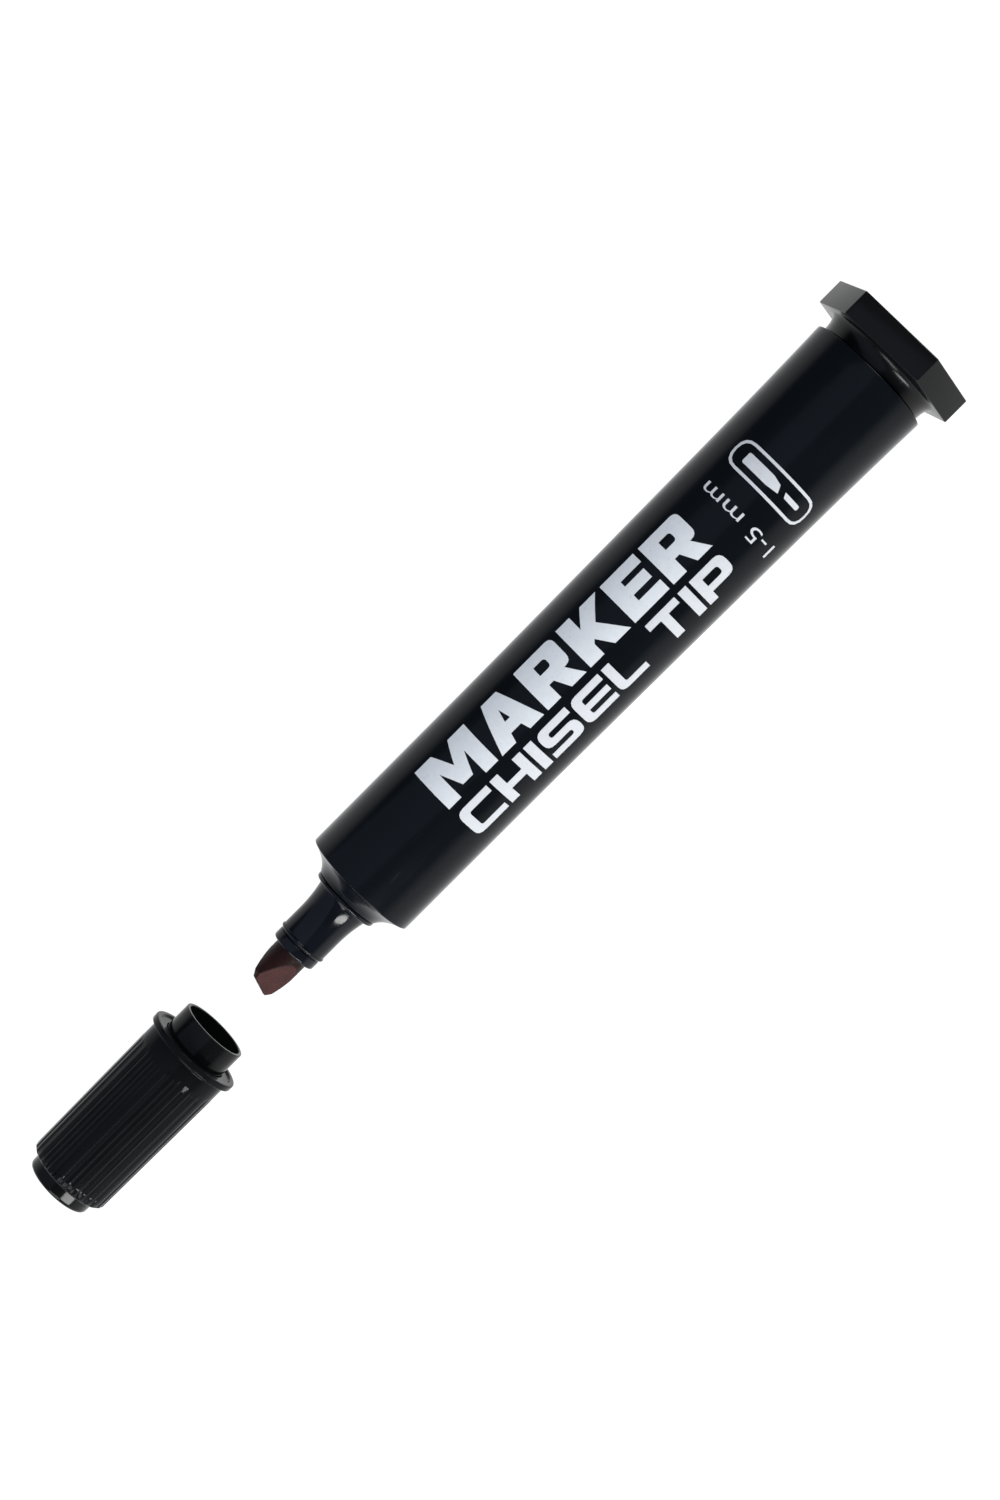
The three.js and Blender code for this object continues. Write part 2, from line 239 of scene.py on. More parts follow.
def mouldedPlastic(name, look):
    # black plastic from a polished mould: a faint orange peel, flow marks along the draw,
    # cloudy patches where fingers have dulled the gloss, hairline scuffs and paler worn edges
    material = newMaterial(name)
    tree = material.node_tree
    place = centredCoordinates(tree)
    drawn = centredCoordinates(tree, (0.06, 1, 1))
    peel = addNode(tree, "ShaderNodeTexNoise", {
        "Scale": 1 / look["peel"], "Detail": 2.0,
    }, {0: place.outputs[0]})
    grain = addNode(tree, "ShaderNodeTexNoise", {
        "Scale": 1 / look["grain"], "Detail": 1.0,
    }, {0: place.outputs[0]})
    clouds = addNode(tree, "ShaderNodeTexNoise", {
        "Scale": 1 / look["cloud"], "Detail": 4.0,
    }, {0: place.outputs[0]})
    flow = addNode(tree, "ShaderNodeTexNoise", {
        "Scale": 1 / look["flow"], "Detail": 3.0,
    }, {0: drawn.outputs[0]})
    scuffs = addNode(tree, "ShaderNodeTexNoise", {
        "Scale": 1 / look["scuff"], "Detail": 2.0, "Distortion": 0.6,
    }, {0: drawn.outputs[0]})
    scuffed = addNode(tree, "ShaderNodeMapRange", {
        "From Min": 0.66, "From Max": 0.74, "To Min": 0.0, "To Max": 1.0,
    }, {0: scuffs.outputs[0]})
    edge = addNode(tree, "ShaderNodeNewGeometry")
    worn = addNode(tree, "ShaderNodeMapRange", {
        "From Min": 0.53, "From Max": 0.6, "To Min": 0.0, "To Max": look["wear"],
    }, {0: edge.outputs["Pointiness"]})
    body = addNode(tree, "ShaderNodeMix", {
        "data_type": "RGBA", 6: toLinear(look["dark"]), 7: toLinear(look["pale"]),
    }, {0: clouds.outputs[0]})
    rubbed = addNode(tree, "ShaderNodeMix", {
        "data_type": "RGBA", 7: toLinear(look["rubbed"]),
    }, {0: worn.outputs[0], 6: body.outputs[2]})
    dull = addNode(tree, "ShaderNodeMapRange", {
        "From Min": 0.3, "From Max": 0.7,
        "To Min": look["roughness"] - look["patchy"], "To Max": look["roughness"] + look["patchy"],
    }, {0: clouds.outputs[0]})
    scratchDull = addNode(tree, "ShaderNodeMath", {"operation": "MULTIPLY_ADD", 1: 0.12}, {
        0: scuffed.outputs[0], 2: dull.outputs[0],
    })
    fine = addNode(tree, "ShaderNodeBump", {"Strength": 1.0, "Distance": look["grainDepth"] * mm}, {
        "Height": grain.outputs[0],
    })
    streaked = addNode(tree, "ShaderNodeBump", {"Strength": 1.0, "Distance": look["flowDepth"] * mm}, {
        "Height": flow.outputs[0], "Normal": fine.outputs[0],
    })
    peeled = addNode(tree, "ShaderNodeBump", {"Strength": 1.0, "Distance": look["peelDepth"] * mm}, {
        "Height": peel.outputs[0], "Normal": streaked.outputs[0],
    })
    shader = addNode(tree, "ShaderNodeBsdfPrincipled", {"IOR": 1.49, "Specular IOR Level": look["gloss"]}, {
        "Base Color": rubbed.outputs[2],
        "Roughness": scratchDull.outputs[0],
        "Normal": peeled.outputs[0],
    })
    addNode(tree, "ShaderNodeOutputMaterial", None, {"Surface": shader.outputs[0]})
    return material


# Polypropylene tube: glossy with a blue-black depth; peel, grain and flow are pattern sizes in mm
barrelPlastic = mouldedPlastic("polypropylene_moulded_barrel", {
    "dark": "#0b0d10", "pale": "#101419", "rubbed": "#23272c", "wear": 0.5,
    "roughness": 0.16, "patchy": 0.02, "gloss": 0.12,
    "peel": 1.6, "peelDepth": 0.003, "grain": 0.22, "grainDepth": 0.0005,
    "flow": 0.9, "flowDepth": 0.0012, "cloud": 9, "scuff": 0.35,
})
# The nozzle comes from a smaller, better polished mould, so its highlights are crisp
nozzlePlastic = mouldedPlastic("polypropylene_polished_nozzle", {
    "dark": "#0d0f13", "pale": "#13161c", "rubbed": "#262a30", "wear": 0.4,
    "roughness": 0.1, "patchy": 0.02, "gloss": 0.18,
    "peel": 1.1, "peelDepth": 0.001, "grain": 0.18, "grainDepth": 0.0002,
    "flow": 0.7, "flowDepth": 0.0004, "cloud": 4, "scuff": 0.3,
})
# Polypropylene plug: neutral black, its flats a little satin
plugPlastic = mouldedPlastic("polypropylene_moulded_plug", {
    "dark": "#0b0b0c", "pale": "#101112", "rubbed": "#2a2c2e", "wear": 0.6,
    "roughness": 0.2, "patchy": 0.03, "gloss": 0.15,
    "peel": 1.8, "peelDepth": 0.005, "grain": 0.2, "grainDepth": 0.0008,
    "flow": 1.4, "flowDepth": 0.001, "cloud": 6, "scuff": 0.35,
})
# Ribbed cap: handled the most, so it is the dullest of the black pieces
capPlastic = mouldedPlastic("polypropylene_satin_cap", {
    "dark": "#0c0d0e", "pale": "#121416", "rubbed": "#2a2d30", "wear": 0.5,
    "roughness": 0.1, "patchy": 0.01, "gloss": 0.055,
    "peel": 1.2, "peelDepth": 0.0015, "grain": 0.2, "grainDepth": 0.0003,
    "flow": 0.6, "flowDepth": 0.0004, "cloud": 5, "scuff": 0.3,
})
# Polyethylene liner: waxy, softer gloss
linerPlastic = mouldedPlastic("polyethylene_waxy_liner", {
    "dark": "#0d0d0e", "pale": "#131415", "rubbed": "#2a2b2c", "wear": 0.5,
    "roughness": 0.12, "patchy": 0.02, "gloss": 0.12,
    "peel": 1.0, "peelDepth": 0.003, "grain": 0.2, "grainDepth": 0.0008,
    "flow": 0.8, "flowDepth": 0.0008, "cloud": 5, "scuff": 0.3,
})


def feltedFibre(name, look):
    # bonded polyester fibres all lying along the rod: soaked dark with ink, a soft sheen on the cut faces
    # real fibres are about 0.02 mm, drawn coarser so that they show
    material = newMaterial(name)
    tree = material.node_tree
    place = centredCoordinates(tree)
    combed = centredCoordinates(tree, (0.14, 1, 1))
    fibres = addNode(tree, "ShaderNodeTexNoise", {
        "Scale": 1 / look["fibre"], "Detail": 3.0, "Roughness": 0.6,
    }, {0: combed.outputs[0]})
    soak = addNode(tree, "ShaderNodeTexNoise", {
        "Scale": 1 / look["soak"], "Detail": 3.0,
    }, {0: place.outputs[0]})
    strands = addNode(tree, "ShaderNodeMapRange", {
        "From Min": 0.35, "From Max": 0.65,
    }, {0: fibres.outputs[0]})
    wet = addNode(tree, "ShaderNodeMix", {
        "data_type": "RGBA", 6: toLinear(look["dark"]), 7: toLinear(look["pale"]),
    }, {0: soak.outputs[0]})
    strand = addNode(tree, "ShaderNodeMix", {
        "data_type": "RGBA", "blend_type": "MULTIPLY", 0: 0.45,
    }, {6: wet.outputs[2], 7: strands.outputs[0]})
    ridged = addNode(tree, "ShaderNodeBump", {"Strength": 1.0, "Distance": look["fibreDepth"] * mm}, {
        "Height": fibres.outputs[0],
    })
    shader = addNode(tree, "ShaderNodeBsdfPrincipled", {
        "Roughness": look["roughness"], "IOR": 1.5, "Sheen Weight": look["sheen"], "Sheen Roughness": 0.4,
        "Sheen Tint": toLinear(look["sheenColour"]), "Specular IOR Level": look["gloss"],
    }, {"Base Color": strand.outputs[2], "Normal": ridged.outputs[0]})
    addNode(tree, "ShaderNodeOutputMaterial", None, {"Surface": shader.outputs[0]})
    return material


nibFelt = feltedFibre("polyester_felt_nib", {
    "dark": "#1f0d0b", "pale": "#2c1310", "fibre": 0.12, "fibreDepth": 0.02, "soak": 1.8,
    "roughness": 0.45, "gloss": 0.12, "sheen": 0.02, "sheenColour": "#a8706c",
})
# where the nib was cut the fibre ends stand open, which reads redder and paler; the paler tone is also
# painted light, standing in for the lamp that falls on these faces
nibCutFeltPaintedLit = feltedFibre("polyester_felt_cut_face_painted_lit", {
    "dark": "#2b1311", "pale": "#522723", "fibre": 0.12, "fibreDepth": 0.015, "soak": 1.4,
    "roughness": 0.5, "gloss": 0.15, "sheen": 0.05, "sheenColour": "#c08c88",
})
reservoirFibre = feltedFibre("polyester_fibre_reservoir", {
    "dark": "#1c0f10", "pale": "#34191b", "fibre": 0.3, "fibreDepth": 0.05, "soak": 6,
    "roughness": 0.9, "gloss": 0.4, "sheen": 0.3, "sheenColour": "#7a5a5a",
})


def wrapFilm():
    # clear polypropylene film round the fibre: thin, with a few lengthwise creases
    material = newMaterial("polypropylene_clear_film")
    tree = material.node_tree
    place = centredCoordinates(tree, (0.05, 1, 1))
    creases = addNode(tree, "ShaderNodeTexNoise", {"Scale": 0.8, "Detail": 3.0}, {0: place.outputs[0]})
    creased = addNode(tree, "ShaderNodeBump", {"Strength": 0.8, "Distance": 0.03 * mm}, {
        "Height": creases.outputs[0],
    })
    gloss = addNode(tree, "ShaderNodeMapRange", {"To Min": 0.08, "To Max": 0.22}, {0: creases.outputs[0]})
    shader = addNode(tree, "ShaderNodeBsdfPrincipled", {
        "Base Color": toLinear("#e6eaec"), "IOR": 1.49, "Transmission Weight": 0.85,
    }, {"Roughness": gloss.outputs[0], "Normal": creased.outputs[0]})
    addNode(tree, "ShaderNodeOutputMaterial", None, {"Surface": shader.outputs[0]})
    return material


def screenInk(name, look):
    # pad-printed ink: a thin matt layer with a fine mottle and pinholes where it met the plastic's grain
    material = newMaterial(name)
    tree = material.node_tree
    place = centredCoordinates(tree)
    mottle = addNode(tree, "ShaderNodeTexNoise", {
        "Scale": 1 / look["mottle"], "Detail": 4.0,
    }, {0: place.outputs[0]})
    specks = addNode(tree, "ShaderNodeTexNoise", {
        "Scale": 1 / look["speck"], "Detail": 1.0,
    }, {0: place.outputs[0]})
    pinholes = addNode(tree, "ShaderNodeMapRange", {
        "From Min": 0.7, "From Max": 0.76, "To Min": 0.0, "To Max": 0.5,
    }, {0: specks.outputs[0]})
    shade = addNode(tree, "ShaderNodeMix", {
        "data_type": "RGBA", 6: toLinear(look["thin"]), 7: toLinear(look["thick"]),
    }, {0: mottle.outputs[0]})
    holed = addNode(tree, "ShaderNodeMix", {
        "data_type": "RGBA", 7: toLinear(look["hole"]),
    }, {0: pinholes.outputs[0], 6: shade.outputs[2]})
    uneven = addNode(tree, "ShaderNodeBump", {"Strength": 0.7, "Distance": 0.004 * mm}, {
        "Height": mottle.outputs[0],
    })
    shader = addNode(tree, "ShaderNodeBsdfPrincipled", {
        "Metallic": look["metallic"], "Roughness": look["roughness"], "IOR": 1.5,
    }, {"Base Color": holed.outputs[2], "Normal": uneven.outputs[0]})
    addNode(tree, "ShaderNodeOutputMaterial", None, {"Surface": shader.outputs[0]})
    return material


silverInk = screenInk("ink_silver_pad_print", {
    "thin": "#d0d4d8", "thick": "#dde1e4", "hole": "#989ea4", "mottle": 0.8, "speck": 0.25,
    "metallic": 0.0, "roughness": 0.55,
})
whiteInk = screenInk("ink_white_pad_print", {
    "thin": "#c4c7cb", "thick": "#d0d3d7", "hole": "#999ea5", "mottle": 0.8, "speck": 0.25,
    "metallic": 0.0, "roughness": 0.5,
})
print("finishes made")


def clearSelection():
    if bpy.context.mode != "OBJECT":
        bpy.ops.object.mode_set(mode="OBJECT")
    bpy.ops.object.select_all(action="DESELECT")


def selectOnly(piece):
    clearSelection()
    piece.select_set(True)
    bpy.context.view_layer.objects.active = piece


def keepPlace(piece):
    # the place goes into the mesh and the object stays at the origin
    selectOnly(piece)
    bpy.ops.object.transform_apply(location=True, rotation=True, scale=True)


def namePiece(piece, name):
    piece.name = name
    piece.data.name = name


def rounded(corners):
    # (radius, along) or (radius, along, rounding): a corner with a rounding becomes a short curve
    outline = []
    for i, corner in enumerate(corners):
        here = Vector(corner[:2])
        if len(corner) == 2:
            outline.append(here)
            continue
        before = (Vector(corners[i - 1][:2]) - here).normalized() * corner[2]
        after = (Vector(corners[(i + 1) % len(corners)][:2]) - here).normalized() * corner[2]
        for step in range(roundSteps + 1):
            share = step / roundSteps
            outline.append(here + before * (1 - share) ** 2 + after * share ** 2)
    return outline


def bend(start, pull, end, steps):
    # the points after start on a curve that leaves towards pull and arrives at end
    points = []
    for step in range(1, steps + 1):
        share = step / steps
        place = Vector(start) * (1 - share) ** 2
        place += Vector(pull) * 2 * share * (1 - share)
        place += Vector(end) * share ** 2
        points.append(tuple(place))
    return points


def turnPiece(name, outline, sides, origin):
    # as on a lathe: a ring is walked along the outline, extruded and brought to each new radius
    clearSelection()
    bpy.ops.mesh.primitive_circle_add(
        vertices=sides,
        radius=outline[0].x * mm,
        fill_type="NOTHING",
        location=(origin + outline[0].y * mm, 0, axisHeight),
        rotation=(0, math.pi / 2, 0),
    )
    piece = bpy.context.object
    namePiece(piece, name)
    keepPlace(piece)
    bpy.ops.object.mode_set(mode="EDIT")
    bpy.ops.mesh.select_all(action="SELECT")
    for here, there in zip(outline, outline[1:]):
        bpy.ops.mesh.extrude_edges_move(TRANSFORM_OT_translate={"value": ((there.y - here.y) * mm, 0, 0)})
        spread = there.x / here.x
        bpy.ops.transform.resize(
            value=(1, spread, spread),
            center_override=(origin + there.y * mm, 0, axisHeight),
        )
    bpy.ops.mesh.select_all(action="SELECT")
    bpy.ops.mesh.remove_doubles(threshold=mergeGap * mm)
    bpy.ops.mesh.normals_make_consistent(inside=False)
    bpy.ops.object.mode_set(mode="OBJECT")
    return piece


def whereOnMarker(place, origin):
    # along and radius in mm, and the angle from the top towards +Y in degrees
    across, up = place.y, place.z - axisHeight
    return (place.x - origin) / mm, math.hypot(across, up) / mm, math.degrees(math.atan2(across, up))


def pickFaces(piece, origin, wanted):
    bpy.ops.mesh.select_mode(type="FACE")
    bpy.ops.mesh.select_all(action="DESELECT")
    mesh = bmesh.from_edit_mesh(piece.data)
    for face in mesh.faces:
        if wanted(*whereOnMarker(face.calc_center_median(), origin)):
            face.select_set(True)
    bmesh.update_edit_mesh(piece.data)


def smoothShade(piece, angle=32):
    selectOnly(piece)
    bpy.ops.object.shade_smooth_by_angle(angle=math.radians(angle))


def applyModifier(piece, kind, settings):
    selectOnly(piece)
    modifier = piece.modifiers.new(kind.lower(), kind)
    for key, value in settings.items():
        setattr(modifier, key, value)
    bpy.ops.object.modifier_apply(modifier=modifier.name)


def combine(piece, tool, operation):
    # joins the tool on or cuts it out, and the tool itself goes
    applyModifier(piece, "BOOLEAN", {"operation": operation, "object": tool, "solver": "EXACT"})
    bpy.data.objects.remove(tool)


def finishPiece(piece, material, body, nodes=()):
    # the finish and the body it moves with, and where it stands in for CAD nodes, those nodes are hidden
    piece.data.materials.clear()
    piece.data.materials.append(material)
    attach(piece, body)
    if nodes:
        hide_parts(*nodes)


def barrelOuter():
    # the outside from the front rim to the rear end
    look = barrelLook
    start = (look["frontRadius"], look["straight"])
    rear = (look["rearRadius"], look["length"])
    points = [(look["frontRadius"], 0, look["rimRounding"]), start]
    points += bend(start, look["taperPull"], look["flareStart"], 16)
    points += bend(look["flareStart"], look["flarePull"], rear, 10)[:-1]
    return points + [(*rear, look["endRounding"])]


def makeBarrel():
    look = barrelLook

    def boreAt(along):
        share = (along - look["shoulderWall"]) / (look["length"] - look["shoulderWall"])
        return look["boreFront"] + (look["boreRear"] - look["boreFront"]) * share

    foot = (look["shoulderRadius"], -look["shoulderDepth"])
    corners = [(look["noseBore"], -look["shoulderDepth"], 0.1), (*foot, 0.15)]
    corners += bend(foot, look["shoulderPull"], (look["frontRadius"], 0), 10)[:-1]
    corners += barrelOuter()
    corners += [
        (look["boreRear"], look["length"], 0.15),
        (boreAt(look["ribEnd"]), look["ribEnd"]),
        (boreAt(look["ribStart"]), look["ribStart"]),
        (look["boreFront"], look["shoulderWall"], 0.3),
        (look["shoulderRadius"], 0),
        (look["noseBore"], 0),
    ]
    outline = rounded(corners)
    outline.append(outline[0])
    barrel = turnPiece("barrel_shell", outline, look["sides"], barrelRim)
    # slim ribs inside the bore hold the reservoir in the middle
    pitch = 360 / look["ribCount"]
    halfRib = look["ribFaces"] / 2 * 360 / look["sides"]
    midWall = (look["boreRear"] + look["frontRadius"]) / 2
    bpy.ops.object.mode_set(mode="EDIT")
    pickFaces(barrel, barrelRim, lambda along, radius, angle: (
        look["ribStart"] < along < look["ribEnd"]
        and radius < midWall
        and abs((angle % pitch) - pitch / 2) < halfRib
    ))
    bpy.ops.mesh.extrude_region_move()
    squeeze = look["ribTip"] / look["boreRear"]
    bpy.ops.transform.resize(value=(1, squeeze, squeeze), center_override=(barrelRim, 0, axisHeight))
    bpy.ops.object.mode_set(mode="OBJECT")
    smoothShade(barrel)
    finishPiece(barrel, barrelPlastic, "marker_body", ["barrel"])


nozzleLook = {
    "sides": 128,
    "reach": 12.6,
    "bore": 2.65,
    "tipRadius": 3.34,
    "tipLength": 1.35,
    "tipRounding": 0.34,
    "grooveDepth": 0.14,
    "beadOffset": 0.55,
    "beadRadius": 3.6,
    "beadLength": 0.5,
    "beadSlope": 0.04,
    "beadRounding": 0.2,
    "stemRadius": 3.46,
    "flareStart": 7.55,
    "flareRadius": 4.02,
    "flarePull": (3.48, -5.2),
    "collarRadius": 4.84,
    "collarFront": 3.1,
    "collarBack": 2.45,
    "spigotRadius": 4.25,
    "tail": 3.2,
}


def makeNozzle():
    look = nozzleLook
    tipBack = -look["reach"] + look["tipLength"]
    bead = tipBack + look["beadOffset"]
    halfBead = look["beadLength"] / 2
    beadTop = halfBead - look["beadSlope"]
    groove = look["tipRadius"] - look["grooveDepth"]
    stem = (look["stemRadius"], -look["flareStart"])
    flare = (look["flareRadius"], -look["collarFront"])
    outline = rounded([
        (look["bore"], -look["reach"], 0.08),
        (look["tipRadius"], -look["reach"], look["tipRounding"]),
        (look["tipRadius"], tipBack, 0.06),
        (groove, tipBack + look["grooveDepth"], 0.04),
        (groove, bead - halfBead, 0.04),
        (look["beadRadius"], bead - beadTop, look["beadRounding"]),
        (look["beadRadius"], bead + beadTop, look["beadRounding"]),
        (look["stemRadius"], bead + halfBead, 0.05),
        stem,
        *bend(stem, look["flarePull"], flare, 10)[:-1],
        (*flare, 0.15),
        (look["collarRadius"], -look["collarFront"], 0.32),
        (look["collarRadius"], -look["collarBack"], 0.2),
        (look["spigotRadius"], -look["collarBack"]),
        (look["spigotRadius"], look["tail"], 0.2),
        (look["bore"], look["tail"], 0.2),
    ])
    outline.append(outline[0])
    nozzle = turnPiece("nozzle_tip", outline, look["sides"], barrelRim)
    smoothShade(nozzle)
    finishPiece(nozzle, nozzlePlastic, "marker_body", ["nozzle"])


nibLook = {
    "radius": 2.5,
    "reach": 19.8,
    "back": 13,
    "backCone": 2.2,
    "backRadius": 1.125,
    "bevelAngle": 22.5,
    "edgeHalfThickness": 0.3,
    "slantAngle": 19,
    "facing": 60,  # how far the bevelled face is turned from straight up towards -Y
    "cornerCut": 0.5,
    "cutLength": 7,  # no cut face reaches further back than this
    "cutFacing": 0.97,  # how nearly a face looks the bevel's way to count as cut, 1 being exactly
    "softening": 0.22,
    "voxel": 0.11,
    "fuzz": 0.035,
    "fuzzSize": 0.35,
}


def makeNib():
    look = nibLook
    tip = barrelRim - look["reach"] * mm
    back = barrelRim + look["back"] * mm
    clearSelection()
    bpy.ops.mesh.primitive_cylinder_add(
        vertices=64,
        radius=look["radius"] * mm,
        depth=back - tip,
        location=((tip + back) / 2, 0, axisHeight),
        rotation=(0, math.pi / 2, 0),
    )
    nib = bpy.context.object
    namePiece(nib, "felt_nib")
    keepPlace(nib)
    bpy.ops.object.mode_set(mode="EDIT")

    def atBackEnd(along, radius, angle):
        return along > look["back"] - 0.01

    # the back end is drawn in to a short cone that pushes into the reservoir
    pickFaces(nib, barrelRim, atBackEnd)
    bpy.ops.mesh.extrude_region_move()
    bpy.ops.mesh.select_all(action="SELECT")
    bpy.ops.mesh.bisect(plane_co=(back - look["backCone"] * mm, 0, axisHeight), plane_no=(1, 0, 0))
    pickFaces(nib, barrelRim, atBackEnd)
    narrow = look["backRadius"] / look["radius"]
    bpy.ops.transform.resize(value=(1, narrow, narrow), center_override=(back, 0, axisHeight))
    # two bevels and a slant cut the chisel, and both bevels follow the slanted edge
    facing = math.radians(look["facing"])
    bevelled = Vector((0, -math.sin(facing), math.cos(facing)))
    longCorner = Vector((0, -math.cos(facing), -math.sin(facing)))
    forward = Vector((-1, 0, 0))
    axisPoint = Vector((tip, 0, axisHeight))
    slope = math.radians(look["bevelAngle"])
    slant = math.radians(look["slantAngle"])
    slanted = forward - longCorner * math.tan(slant)
    longPoint = axisPoint + longCorner * look["radius"] * mm
    cuts = [
        (longPoint + side * bevelled * look["edgeHalfThickness"] * mm,
         slanted * math.sin(slope) + side * bevelled * math.cos(slope))
        for side in (1, -1)
    ]
    cuts.append((longPoint, slanted))
    # both corners of the slanted edge are taken off, one across for two along
    tipWidth = look["radius"] - look["cornerCut"]
    turn = math.atan(2)
    for side in (1, -1):
        rise = (look["radius"] - side * tipWidth) * math.tan(slant)
        corner = axisPoint + (side * longCorner * tipWidth - forward * rise) * mm
        cuts.append((corner, forward * math.cos(turn) + side * longCorner * math.sin(turn)))
    for place, normal in cuts:
        bpy.ops.mesh.select_all(action="SELECT")
        bpy.ops.mesh.bisect(plane_co=place, plane_no=normal, use_fill=True, clear_outer=True)
    bpy.ops.mesh.select_all(action="SELECT")
    bpy.ops.mesh.remove_doubles(threshold=mergeGap * mm)
    bpy.ops.mesh.normals_make_consistent(inside=False)
    bpy.ops.object.mode_set(mode="OBJECT")
    applyModifier(nib, "BEVEL", {
        "width": look["softening"] * mm, "segments": 3, "angle_limit": math.radians(15),
    })
    applyModifier(nib, "REMESH", {"mode": "VOXEL", "voxel_size": look["voxel"] * mm})
    applyModifier(nib, "SMOOTH", {"factor": 0.5, "iterations": 3})
    fuzz = bpy.data.textures.new("felt_fuzz", "CLOUDS")
    fuzz.noise_scale = look["fuzzSize"] * mm
    fuzz.noise_depth = 2
    applyModifier(nib, "DISPLACE", {"texture": fuzz, "strength": look["fuzz"] * mm, "mid_level": 0.7})
    smoothShade(nib, 60)
    finishPiece(nib, nibFelt, "marker_body", ["nib"])
    # the two bevelled faces take the cut felt, painted paler as if light falls on them
    nib.data.materials.append(nibCutFeltPaintedLit)
    bevels = [normal.normalized() for place, normal in cuts[:2]]
    cutEnd = tip + look["cutLength"] * mm
    for face in nib.data.polygons:
        towardsBevel = max(face.normal.dot(bevel) for bevel in bevels)
        if face.center.x < cutEnd and towardsBevel > look["cutFacing"]:
            face.material_index = 1


plugLook = {
    "sides": 128,
    "neckRadius": 8.15,
    "neckFillet": 1.1,
    "neckFilletLength": 2.15,
    "hexThickness": 3.83,
    "hexFlatDistance": 9.4,
    "hexFlatHalfLength": 6.2,
    "hexCornerDistance": 11.25,
    "hexRounding": 0.16,
    "spigotLength": 9,
    "spigotRadius": 7.45,
    "sealRadius": 7.65,
    "sealWidth": 0.8,
    "sealPlaces": (2.2, 5.4),
    "coreRadius": 6.2,
    "endWall": 1.6,
    "fitGap": 0.15,
    "overlap": 0.02,  # how far the neck runs into the hexagon, so that they join cleanly
}


def makeEndPlug():
    look = plugLook
    plugEnd = (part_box("end_plug")[1].x - barrelRim) / mm
    headStart = plugEnd - look["hexThickness"]
    headMiddle = plugEnd - look["hexThickness"] / 2
    spigotStart = (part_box("end_plug")[0].x - barrelRim) / mm
    neckStart = spigotStart + look["spigotLength"] + look["fitGap"]
    clearSelection()
    bpy.ops.mesh.primitive_cylinder_add(
        vertices=6,
        radius=look["hexCornerDistance"] * mm,
        depth=look["hexThickness"] * mm,
        location=(barrelRim + headMiddle * mm, 0, axisHeight),
        rotation=(0, math.pi / 2, 0),
    )
    plug = bpy.context.object
    namePiece(plug, "hex_end_plug")
    keepPlace(plug)
    bpy.ops.object.mode_set(mode="EDIT")
    bpy.ops.mesh.select_mode(type="VERT")
    bpy.ops.mesh.select_all(action="DESELECT")
    mesh = bmesh.from_edit_mesh(plug.data)
    for vertex in mesh.verts:
        vertex.select_set(abs(vertex.co.z - axisHeight) > mm)
    bmesh.update_edit_mesh(plug.data)
    # the four upper and lower corners come in to the flats' height and out to their width
    half = look["hexCornerDistance"] / 2
    bpy.ops.transform.resize(
        value=(1, look["hexFlatHalfLength"] / half, look["hexFlatDistance"] / (half * math.sqrt(3))),
        center_override=(0, 0, axisHeight),
    )
    bpy.ops.object.mode_set(mode="OBJECT")
    applyModifier(plug, "BEVEL", {"width": look["hexRounding"] * mm, "segments": 4, "limit_method": "NONE"})
    rim = look["neckRadius"] + look["neckFillet"]
    filletStart = (look["neckRadius"], headStart - look["neckFilletLength"])
    seals = []
    for place in look["sealPlaces"]:
        seals += [
            (look["spigotRadius"], spigotStart + place),
            (look["sealRadius"], spigotStart + place + look["sealWidth"] / 3, 0.1),
            (look["sealRadius"], spigotStart + place + look["sealWidth"] * 2 / 3, 0.1),
            (look["spigotRadius"], spigotStart + place + look["sealWidth"]),
        ]
    neck = turnPiece("plug_neck", rounded([
        (onAxis, spigotStart),
        (look["spigotRadius"], spigotStart, 0.5),
        *seals,
        (look["spigotRadius"], neckStart),
        (look["neckRadius"], neckStart, 0.1),
        filletStart,
        *bend(filletStart, (look["neckRadius"], headStart), (rim, headStart + look["overlap"]), 12),
        (rim, headMiddle),
        (onAxis, headMiddle),
    ]), look["sides"], barrelRim)
    combine(plug, neck, "UNION")
    # the plug is hollow from its inner end, and the cutter starts a little outside it
    coreStart = spigotStart - 1
    core = turnPiece("plug_core", rounded([
        (onAxis, coreStart),
        (look["coreRadius"], coreStart),
        (look["coreRadius"], plugEnd - look["endWall"], 0.3),
        (onAxis, plugEnd - look["endWall"]),
    ]), look["sides"], barrelRim)
    combine(plug, core, "DIFFERENCE")
    smoothShade(plug)
    finishPiece(plug, plugPlastic, "marker_body", ["end_plug"])


capLook = {
    "sidesPerRib": 9,
    "ribCount": 26,
    "bore": 4.97,
    "flangeFront": 3.55,
    "flangeThickness": 0.92,
    "flangeRadius": 6.92,
    "dishRadius": 6.2,
    "dishDepth": 0.25,
    "dishSlope": 0.15,
    "bandLength": 2.25,
    "bandRadius": 6.22,
    "bandFillet": 0.3,
    "shellEnd": 27.55,
    "ribRadius": 6.22,
    "taper": 0.968,
    "grooveFaces": 5,
    "grooveCut": 0.13,
    "grooveSlope": 0.24,
    "grooveRunOut": 0.7,
    "endChamfer": 0.35,
    "endZone": 1.1,
    "edgeZone": 0.15,
    "smoothAngle": 50,
}


